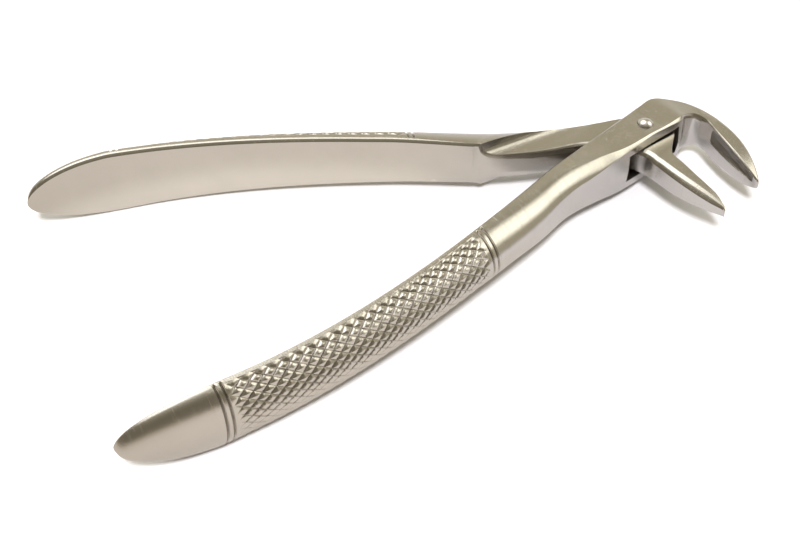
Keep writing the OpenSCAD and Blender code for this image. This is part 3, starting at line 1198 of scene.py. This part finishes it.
class Nodes:
    """A node tree that is filled from left to right."""

    def __init__(self, tree: bpy.types.NodeTree) -> None:
        """Takes a tree and empties it."""
        self.tree = tree
        self.tree.nodes.clear()

    def add(self, kind: str, settings: dict[str, object] | None = None,
            **sockets: object) -> bpy.types.Node:
        """Adds a node.

        Args:
            kind: Blender's name of the node's type.
            settings: Values of the node's own properties.
            sockets: For each input, by its name with _ for a space or _N for input number N, the value
                or the output that feeds it.

        Returns:
            The node.
        """
        node = self.tree.nodes.new(kind)
        node.location = (220 * len(self.tree.nodes), 0)
        for name, value in (settings or {}).items():
            setattr(node, name, value)
        for name, value in sockets.items():
            socket = node.inputs[int(name[1:]) if name[1:].isdigit() else name.replace("_", " ")]
            if isinstance(value, bpy.types.NodeSocket):
                self.tree.links.new(value, socket)
            else:
                socket.default_value = value
        return node

    def math(self, operation: str, a: object, b: object = 0.5, c: object = 0.5,
             clamp: bool = False) -> bpy.types.NodeSocket:
        """Returns the output of a Math node with the inputs a, b and c."""
        node = self.add("ShaderNodeMath", {"operation": operation, "use_clamp": clamp}, _0=a, _1=b, _2=c)
        return node.outputs[0]

    def ramp(self, value: object, low: float, high: float) -> bpy.types.NodeSocket:
        """Returns 0 for a value below low and 1 above high, with a smooth rise between them."""
        return self.add("ShaderNodeMapRange", {"interpolation_type": "SMOOTHSTEP"}, Value=value,
                        From_Min=low, From_Max=high).outputs["Result"]

    def blend(self, share: object, a: object, b: object) -> bpy.types.NodeSocket:
        """Returns the mix of the colours a and b, which may be plain ones without their alpha."""
        a, b = ((*c, 1.0) if isinstance(c, tuple) else c for c in (a, b))
        return self.add("ShaderNodeMix", {"data_type": "RGBA"}, _0=share, _6=a, _7=b).outputs[2]

    def noise(self, vector: object, scale: object, detail: float = 2.0,
              roughness: float = 0.5) -> bpy.types.NodeSocket:
        """Returns the value of a Noise Texture."""
        return self.add("ShaderNodeTexNoise", {}, Vector=vector, Scale=scale, Detail=detail,
                        Roughness=roughness).outputs["Fac"]

    def vector_math(self, operation: str, a: object, b: object) -> bpy.types.NodeSocket:
        """Returns the number that a Vector Math node makes of the vectors a and b."""
        return self.add("ShaderNodeVectorMath", {"operation": operation}, _0=a, _1=b).outputs["Value"]

    def attribute(self, name: str, output: str) -> bpy.types.NodeSocket:
        """Returns an output of a mesh attribute."""
        return self.add("ShaderNodeAttribute", {"attribute_name": name}).outputs[output]


class Socket(Enum):
    """Kinds of sockets that a shader group has."""

    VALUE = "NodeSocketFloat"
    VECTOR = "NodeSocketVector"


class ShaderGroup:
    """A node group with named inputs and outputs, built once and placed in many materials."""

    name = "group"
    inputs: dict[str, tuple[Socket, object]] = {}
    outputs: dict[str, Socket] = {}

    @classmethod
    def tree(cls) -> bpy.types.NodeTree:
        """Builds the group at its first use.

        Returns:
            The group's node tree.
        """
        made = bpy.data.node_groups.get(cls.name)
        if made:
            return made
        tree = bpy.data.node_groups.new(cls.name, "ShaderNodeTree")
        for name, (kind, value) in cls.inputs.items():
            socket = tree.interface.new_socket(name, in_out="INPUT", socket_type=kind.value)
            if value is not None:
                socket.default_value = value
        for name, kind in cls.outputs.items():
            tree.interface.new_socket(name, in_out="OUTPUT", socket_type=kind.value)
        nodes = Nodes(tree)
        source = nodes.add("NodeGroupInput").outputs
        results = cls.wire(nodes, source)
        nodes.add("NodeGroupOutput", {}, **{k.replace(" ", "_"): v for k, v in results.items()})
        return tree

    @classmethod
    def wire(cls, nodes: Nodes, source: bpy.types.bpy_prop_collection) -> dict[str, object]:
        """Returns what feeds each output; each group says how."""
        raise NotImplementedError

    @classmethod
    def place(cls, nodes: Nodes, **sockets: object) -> bpy.types.bpy_prop_collection:
        """Places the group in a material and returns its outputs."""
        return nodes.add("ShaderNodeGroup", {"node_tree": cls.tree()}, **sockets).outputs


class SatinGrain(ShaderGroup):
    """Fine blasted grain with soft clouds in it."""

    name = "satin_grain"
    inputs = {"Vector": (Socket.VECTOR, None), "Grain Scale": (Socket.VALUE, 4500.0),
              "Cloud Scale": (Socket.VALUE, 140.0)}
    outputs = {"Grain": Socket.VALUE, "Clouds": Socket.VALUE}

    @classmethod
    def wire(cls, nodes: Nodes, source: bpy.types.bpy_prop_collection) -> dict[str, object]:
        """Returns the grain and the clouds, both round 0.5."""
        return {"Grain": nodes.noise(source["Vector"], source["Grain Scale"], 3.0, 0.6),
                "Clouds": nodes.noise(source["Vector"], source["Cloud Scale"], 4.0, 0.6)}


class BrushedLines(ShaderGroup):
    """Fine polishing lines that run one way over a skin place given as length, breadth and side."""

    name = "brushed_lines"
    inputs = {"Vector": (Socket.VECTOR, None), "Along": (Socket.VALUE, 0.4), "Across": (Socket.VALUE, 9.0)}
    outputs = {"Lines": Socket.VALUE, "Scratches": Socket.VALUE}

    @classmethod
    def wire(cls, nodes: Nodes, source: bpy.types.bpy_prop_collection) -> dict[str, object]:
        """Wires the lines.

        Args:
            nodes: The group's nodes.
            source: Outputs of its input node.

        Returns:
            The lines round 0.5, and a mask of few deeper scratches.
        """
        parts = nodes.add("ShaderNodeSeparateXYZ", {}, Vector=source["Vector"]).outputs
        place = nodes.add("ShaderNodeCombineXYZ", {}, X=nodes.math("MULTIPLY", parts[0], source["Along"]),
                          Y=nodes.math("MULTIPLY", parts[1], source["Across"]),
                          Z=nodes.math("MULTIPLY", parts[2], 7.3)).outputs[0]
        lines = nodes.noise(place, 1.0, 4.0, 0.7)
        slanted = nodes.add("ShaderNodeMapping", {}, Vector=place, Scale=(1.3, 0.22, 1.0),
                            Rotation=(0.0, 0.0, 0.35)).outputs[0]
        few = nodes.noise(slanted, 1.7, 1.0, 0.4)
        return {"Lines": lines, "Scratches": nodes.ramp(few, 0.70, 0.76)}


class EdgeWearAndShade(ShaderGroup):
    """Bright rubbed edges, and painted shade in the deepest carved corners."""

    name = "edge_wear_and_shade"
    # Carved is the carved depth, with the painted shade of the grip groove already in it.
    inputs = {"Vector": (Socket.VECTOR, None), "Carved": (Socket.VALUE, 0.0),
              "Deepest": (Socket.VALUE, 0.4)}
    outputs = {"Edge": Socket.VALUE, "Corner": Socket.VALUE}

    @classmethod
    def wire(cls, nodes: Nodes, source: bpy.types.bpy_prop_collection) -> dict[str, object]:
        """Wires the wear and the painted shade.

        Args:
            nodes: The group's nodes.
            source: Outputs of its input node.

        Returns:
            Masks of the rubbed edges and of the painted shade in the carved corners.
        """
        bend = nodes.add("ShaderNodeNewGeometry").outputs["Pointiness"]
        spots = nodes.noise(source["Vector"], 900.0, 3.0, 0.6)
        edge = nodes.ramp(nodes.math("ADD", bend, nodes.math("MULTIPLY", spots, 0.02)), 0.55, 0.62)
        # Painted shade: the deeper the carving, the darker the corner, broken up by spots.
        share = nodes.math("DIVIDE", source["Carved"], source["Deepest"])
        corner = nodes.ramp(nodes.math("ADD", share, nodes.math("MULTIPLY", spots, 0.5)), 0.75, 1.35)
        return {"Edge": edge, "Corner": corner}


@dataclass(frozen=True)
class SteelFinish:
    """Stainless steel with a satin finish, rubbed brighter along its edges, with painted shade in its
    carved corners.
    """

    name: str
    colour: Triple
    roughness: float
    grain: float = 0.016
    lines: float = 0.018
    scratch: float = 0.01
    along: float = 7.0
    across: float = 0.5
    uneven: float = 0.06
    dark_tone: Triple = (0.13, 0.11, 0.085)
    rubbed: Triple = (0.80, 0.78, 0.74)

    def make(self) -> bpy.types.Material:
        """Makes the material.

        Returns:
            The material, which reads the attributes place, carved and fresh of a piece's mesh.
        """
        material = bpy.data.materials.new(self.name)
        material.use_nodes = True
        nodes = Nodes(material.node_tree)
        spot = nodes.add("ShaderNodeTexCoord").outputs["Object"]
        fresh = nodes.attribute("fresh", "Fac")
        grain = SatinGrain.place(nodes, Vector=spot)
        lines = BrushedLines.place(nodes, Vector=nodes.attribute("place", "Vector"), Along=self.along,
                                   Across=self.across)
        wear_and_shade = EdgeWearAndShade.place(nodes, Vector=spot, Carved=nodes.attribute("carved", "Fac"))
        dull, full = (tuple(min(c * share, 1.0) for c in self.colour)
                      for share in (1 - self.uneven, 1 + self.uneven))
        base = nodes.blend(grain["Clouds"], dull, full)
        # Painted shade in the dark tone fills the carved corners; the faces left by the cuts are also
        # darkened towards it; the rubbed edges are lighter.
        for mask, share, colour in ((wear_and_shade["Corner"], 0.7, self.dark_tone), (fresh, 0.6, self.dark_tone),
                                    (wear_and_shade["Edge"], 0.5, self.rubbed)):
            base = nodes.blend(nodes.math("MULTIPLY", mask, share), base, colour)
        rough = nodes.math("MULTIPLY_ADD", grain["Clouds"], 0.10, self.roughness - 0.05)
        rough = nodes.math("MULTIPLY_ADD", lines["Lines"], 0.10, nodes.math("SUBTRACT", rough, 0.05))
        for mask, more in ((wear_and_shade["Corner"], 0.15), (fresh, 0.15), (wear_and_shade["Edge"], -0.10)):
            rough = nodes.math("MULTIPLY_ADD", mask, more, rough, clamp=more < 0)
        relief = 0.0
        for height, rise in ((grain["Grain"], self.grain), (lines["Lines"], self.lines),
                             (lines["Scratches"], -self.scratch)):
            relief = nodes.math("MULTIPLY_ADD", height, rise * MM, relief)
        bump = nodes.add("ShaderNodeBump", {}, Strength=1.0, Distance=1.0, Height=relief).outputs[0]
        shader = nodes.add("ShaderNodeBsdfPrincipled", {}, Base_Color=base, Metallic=1.0,
                           Roughness=rough, Normal=bump)
        nodes.add("ShaderNodeOutputMaterial", {}, Surface=shader.outputs[0])
        return material


@dataclass(frozen=True)
class Haze:
    """Brightness of the room at one height, in degrees over the table."""

    degrees: float
    colour: Triple


@dataclass(frozen=True)
class Softbox:
    """A round soft light: its bearing to the right of the camera's side, its height and its reach."""

    bearing: float
    degrees: float
    inner: float
    outer: float
    colour: Triple


@dataclass(frozen=True)
class TableTop:
    """White table top, with the painted reflection shades of it that polished steel shows.

    Fields: half its width, its own shades, how much it glows in the steel as painted light, the painted
    reflection shades that the steel shows of it to the left and to the right, far out past a ring round
    the forceps, and in a painted strip of glare between the handles, and where those shades change, in
    metres.
    """

    reach: float = 2.0
    whites: tuple[Triple, Triple] = ((0.86, 0.83, 0.86), (0.89, 0.86, 0.89))
    seen: Triple = (0.8, 0.8, 0.8)
    glow: float = 0.75
    left: Triple = (0.345, 0.322, 0.297)
    right: Triple = (0.36, 0.35, 0.36)
    outside: Triple = (0.16, 0.14, 0.11)
    glare: Triple = (0.47, 0.445, 0.41)
    turns_at: Span = (-0.06, 0.0)
    reflection_centre: Triple = (0.08, 0.02, 0.0)
    reflection_fade: Span = (0.174, 0.29)
    glare_slant: Triple = (0.31, 1.0, 0.0)
    glare_edge: Span = (-0.011, -0.002)
    glare_end: Span = (-0.035, -0.05)

    def material(self) -> bpy.types.Material:
        """Makes the table's material.

        Returns:
            The material, plain to the camera and lamps, with painted reflection shades and a painted
            glow where steel mirrors it.
        """
        material = bpy.data.materials.new("white_table")
        material.use_nodes = True
        nodes = Nodes(material.node_tree)
        spot = nodes.add("ShaderNodeTexCoord").outputs["Object"]
        x = nodes.add("ShaderNodeSeparateXYZ", {}, Vector=spot).outputs["X"]
        # Painted reflection: the table's shades as the steel shows them, darker to the left, brighter in a
        # painted glare strip between the handles, and dark far out.
        shown = nodes.blend(nodes.ramp(x, *self.turns_at), self.left, self.right)
        slant = nodes.vector_math("DOT_PRODUCT", spot, self.glare_slant)
        glare = nodes.math("MULTIPLY", nodes.ramp(slant, *self.glare_edge), nodes.ramp(x, *self.glare_end))
        shown = nodes.blend(glare, shown, self.glare)
        away = nodes.vector_math("DISTANCE", spot, self.reflection_centre)
        shown = nodes.blend(nodes.ramp(away, *self.reflection_fade), shown, self.outside)
        paths = nodes.add("ShaderNodeLightPath").outputs
        base = nodes.blend(nodes.noise(spot, 9.0), *self.whites)
        base = nodes.blend(paths["Is Glossy Ray"], base, shown)
        base = nodes.blend(paths["Is Camera Ray"], base, self.seen)
        matt = nodes.add("ShaderNodeBsdfDiffuse", {}, Color=base)
        # Painted light: the table glows, but only where the steel mirrors it.
        glow = nodes.add("ShaderNodeEmission", {}, Color=shown,
                         Strength=nodes.math("MULTIPLY", paths["Is Glossy Ray"], self.glow))
        shader = nodes.add("ShaderNodeAddShader", {}, _0=matt.outputs[0], _1=glow.outputs[0])
        nodes.add("ShaderNodeOutputMaterial", {}, Surface=shader.outputs[0])
        return material


@dataclass
class Studio:
    """White table, a room with soft lights to the right and high up behind, and the camera."""

    floor: float = -0.00182
    table_top: TableTop = field(default_factory=TableTop)
    place: Triple = (-0.1311, -0.1709, 0.17443)
    right: Triple = (0.9145, -0.4045, 0.0)
    up: Triple = (0.2827, 0.6392, 0.7151)
    ahead: Triple = (0.2893, 0.6540, -0.6990)
    lens: float = 57.39
    near_side: tuple[Haze, ...] = (
        Haze(0, (0.24, 0.21, 0.16)), Haze(14, (0.20, 0.17, 0.125)), Haze(30, (0.18, 0.155, 0.115)),
        Haze(50, (0.24, 0.21, 0.155)), Haze(70, (0.40, 0.36, 0.29)), Haze(90, (1.0, 0.95, 0.85)))
    far_side: tuple[Haze, ...] = (
        Haze(0, (0.80, 0.77, 0.70)), Haze(18, (0.62, 0.57, 0.47)), Haze(34, (0.46, 0.41, 0.29)),
        Haze(58, (0.46, 0.41, 0.30)), Haze(72, (0.90, 0.84, 0.72)), Haze(90, (1.25, 1.2, 1.08)))
    near_reach: Span = (110.0, 135.0)
    softboxes: tuple[Softbox, ...] = (
        Softbox(88, 8, 18, 45, (0.46, 0.41, 0.31)), Softbox(103, 46, 11, 26, (2.0, 1.9, 1.62)),
        Softbox(-133, 62, 18, 31, (2.1, 2.03, 1.9)), Softbox(168, 76, 4, 10, (1.9, 1.83, 1.65)))
    backdrop: Triple = (1.0, 1.0, 1.0)
    key_bearing: float = -8.0
    key_degrees: float = 57.0
    key_size: float = 0.24
    key_power: float = 12.0
    key_colour: Triple = (0.98, 0.96, 1.0)

    def camera(self) -> None:
        """Puts up the camera at the photograph's view."""
        data = bpy.data.cameras.new("StudioCamera")
        data.lens, data.sensor_width, data.clip_start = self.lens, 36.0, 0.005
        camera = bpy.data.objects.new("StudioCamera", data)
        turn = Matrix((self.right, self.up, tuple(-c for c in self.ahead))).transposed().to_4x4()
        camera.matrix_world = Matrix.Translation(self.place) @ turn
        bpy.context.scene.collection.objects.link(camera)
        bpy.context.scene.camera = camera

    def sky(self) -> None:
        """Hangs the room's soft light round the table."""
        world = bpy.data.worlds.new("StudioRoom")
        bpy.context.scene.world = world
        world.use_nodes = True
        nodes = Nodes(world.node_tree)
        way = nodes.add("ShaderNodeTexCoord").outputs["Generated"]
        height = nodes.add("ShaderNodeSeparateXYZ", {}, Vector=way).outputs["Z"]
        rise = nodes.math("DIVIDE", nodes.math("ARCSINE", height), math.pi / 2, clamp=True)
        near, far = (self.hazes(nodes, rise, side) for side in (self.near_side, self.far_side))
        colour = nodes.blend(self.facing(nodes, way, self.direction(0, 0), *self.near_reach), far, near)
        for box in self.softboxes:
            share = self.facing(nodes, way, self.direction(box.bearing, box.degrees), box.inner, box.outer)
            colour = nodes.blend(share, colour, box.colour)
        seen = nodes.add("ShaderNodeLightPath").outputs["Is Camera Ray"]
        colour = nodes.blend(seen, colour, self.backdrop)
        light = nodes.add("ShaderNodeBackground", {}, Color=colour, Strength=1.0)
        nodes.add("ShaderNodeOutputWorld", {}, Surface=light.outputs[0])

    def direction(self, bearing: float, degrees: float) -> Triple:
        """Finds a direction.

        Args:
            bearing: Degrees to the right of the camera's side.
            degrees: Degrees over the table.

        Returns:
            The direction, one long.
        """
        front = math.degrees(math.atan2(-self.ahead[1], -self.ahead[0])) + bearing
        x, y = polar(math.cos(math.radians(degrees)), front)
        return (x, y, math.sin(math.radians(degrees)))

    @staticmethod
    def facing(nodes: Nodes, way: bpy.types.NodeSocket, centre: Triple, inner: float,
               outer: float) -> bpy.types.NodeSocket:
        """Returns 1 within the inner angle round a direction, falling to 0 at the outer one."""
        dot = nodes.vector_math("DOT_PRODUCT", way, centre)
        return nodes.ramp(dot, math.cos(math.radians(outer)), math.cos(math.radians(inner)))

    @staticmethod
    def hazes(nodes: Nodes, rise: bpy.types.NodeSocket, stops: tuple[Haze, ...]) -> bpy.types.NodeSocket:
        """Colours the room over its height.

        Args:
            nodes: The world's nodes.
            rise: The height, from 0 at the table to 1 straight above.
            stops: The colours, from the table upwards.

        Returns:
            The colour.
        """
        ramp = nodes.add("ShaderNodeValToRGB", {}, Fac=rise)
        places = ramp.color_ramp.elements
        places[0].position, places[1].position = 0.0, 1.0
        for haze in stops[1:-1]:
            places.new(haze.degrees / 90)
        for place, haze in zip(places, stops):
            place.color = (*haze.colour, 1.0)
        return ramp.outputs[0]

    def table(self) -> None:
        """Lays the white table top."""
        mesh, r = bpy.data.meshes.new("TableTop"), self.table_top.reach
        mesh.from_pydata([(x * r, y * r, self.floor) for x, y in ((-1, -1), (1, -1), (1, 1), (-1, 1))],
                         [], [(0, 1, 2, 3)])
        top = bpy.data.objects.new("TableTop", mesh)
        bpy.context.scene.collection.objects.link(top)
        mesh.materials.append(self.table_top.material())

    def key(self) -> None:
        """Hangs the small lamp that throws the shadows on the table."""
        data = bpy.data.lights.new("KeyLamp", "AREA")
        data.shape, data.size = "DISK", self.key_size
        data.energy, data.color = self.key_power, self.key_colour
        lamp = bpy.data.objects.new("KeyLamp", data)
        lamp.location = Vector(self.direction(self.key_bearing, self.key_degrees))
        lamp.rotation_euler = lamp.location.to_track_quat("Z", "Y").to_euler()
        lamp.visible_glossy = False
        bpy.context.scene.collection.objects.link(lamp)

    def build(self) -> None:
        """Sets up the whole studio."""
        bpy.context.scene.view_settings.view_transform = "Standard"
        self.sky()
        self.key()
        self.table()
        self.camera()


def main() -> None:
    """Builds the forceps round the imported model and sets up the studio."""
    logging.basicConfig(level=logging.INFO, format="%(message)s")
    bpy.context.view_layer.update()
    steel = SteelFinish("satin_steel", (0.66, 0.64, 0.60), 0.20).make()
    bright = SteelFinish("polished_rivet", (0.80, 0.79, 0.78), 0.22).make()
    for maker, node, body, slot, finish in (
            (BoxArm(), "box_arm", "box_side", "arm_steel", steel),
            (TongueArm(), "tongue_arm", "tongue_side", "arm_steel", steel),
            (PivotRivet(), "pivot_rivet", "box_side", "rivet_steel", bright)):
        piece = maker.build()
        maker.dress(piece, finish)
        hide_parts(node)
        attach(piece, body)
        LOG.info("%s stands for %s: %d faces", piece.name, node, len(piece.data.polygons))
    Studio().build()


if __name__ == "__main__":
    main()
